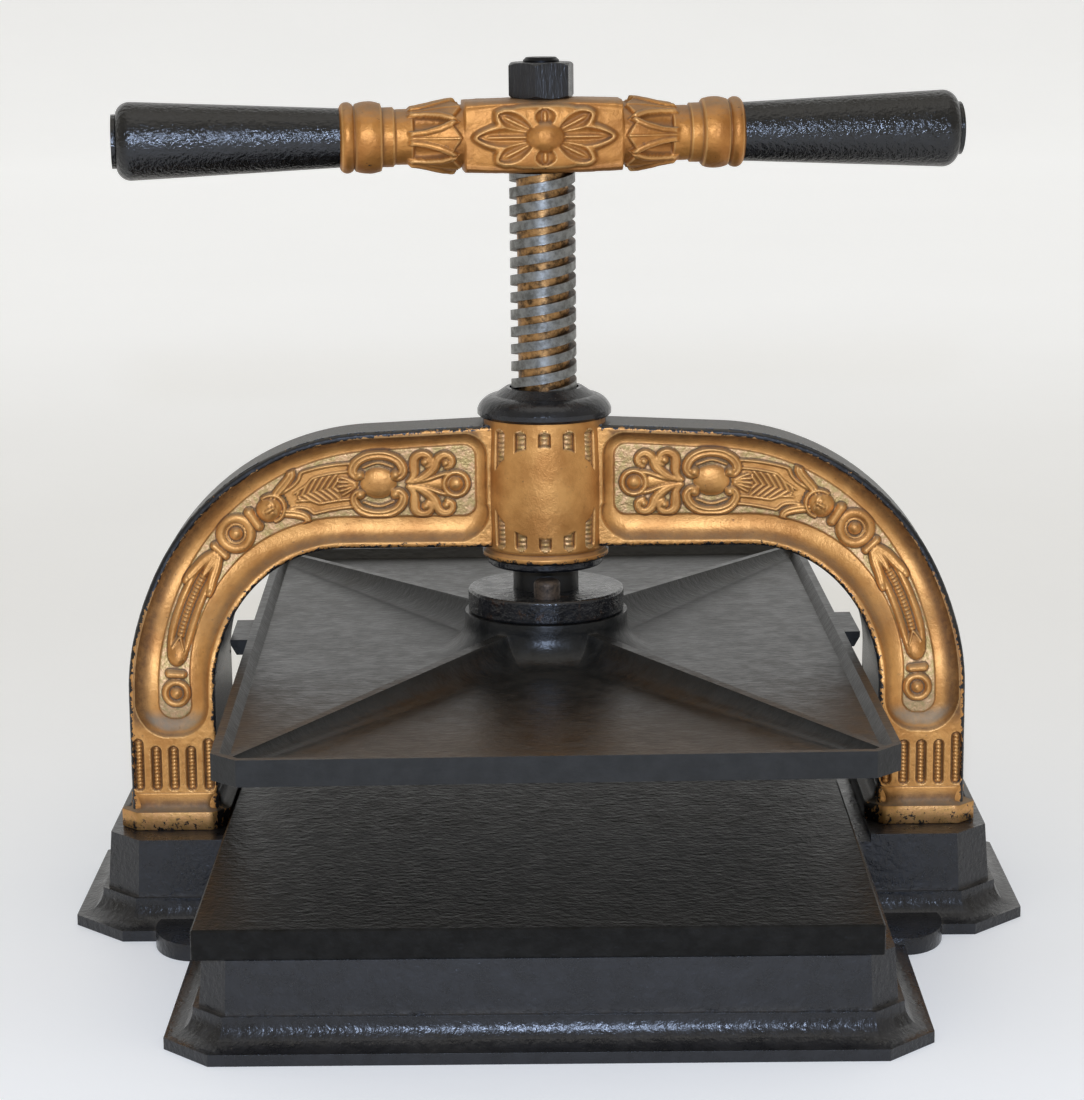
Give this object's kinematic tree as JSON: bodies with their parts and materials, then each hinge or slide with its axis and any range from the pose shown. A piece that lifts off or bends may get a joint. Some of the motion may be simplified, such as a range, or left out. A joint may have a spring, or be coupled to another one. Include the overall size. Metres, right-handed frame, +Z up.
{
  "type": "screw book press",
  "caption": "Cast-iron screw press for books or copies: flat bed, ribbed platen, ornamented arch, square-thread spindle and cross handle.",
  "frame": {"origin": "on the floor, under the spindle's axis, at the middle of the base", "axes": "+Z up along the spindle; +X to the right along the arch; the bed's long side runs along Y and the front faces -Y"},
  "size_m": [0.3948, 0.4144, 0.3554],
  "materials": {
    "black_iron": "black enamel over cast iron, pebbled, dusty",
    "bed_iron": "black paint over rough cast iron",
    "platen_iron": "worn black paint, dusty",
    "gold_paint": "aged gold paint, chipped",
    "spindle_steel": "turned, dull, old paint in the thread",
    "nut_iron": "dark, oily",
    "nut_black": "rough black paint",
    "screw_steel": "dark, worn",
    "bolt_steel": "dull",
    "bronze": "dull",
    "grip_black": "glossy black enamel, pebbled"
  },
  "bodies": {
    "frame": {"base_casting": "black_iron", "bed_plate": "bed_iron", "arch_frame": "gold_paint", "nut_cap": "black_iron", "spindle_nut": "nut_iron", "nut_lock_screw": "screw_steel", "frame_bolts": "bolt_steel", "frame_washers": "bolt_steel", "bed_screws": "bolt_steel", "bed_washers": "bolt_steel"},
    "platen_unit": {"platen": "platen_iron", "thrust_disc": "bronze", "keeper_ring": "black_iron", "keeper_screws": "screw_steel"},
    "spindle_unit": {"spindle": "spindle_steel", "crossbar": "gold_paint", "grip_left": "grip_black", "grip_right": "grip_black", "grip_disc_left": "grip_black", "grip_disc_right": "grip_black", "handle_nut": "nut_black"}
  },
  "joints": [
    {"name": "platen_slide", "type": "slide", "parent": "frame", "child": "platen_unit", "axis": [0, 0, 1], "range_m": [-0.0545, 0.0025]},
    {"name": "spindle_turn", "type": "hinge", "parent": "platen_unit", "child": "spindle_unit", "pos_m": [0, 0, 0.2], "axis": [0, 0, 1], "range_deg": [-1363.5, 63.5]}
  ],
  "couplings": [
    {"joint": "spindle_turn", "follows": "platen_slide", "rad_per_m": 436.33}
  ]
}
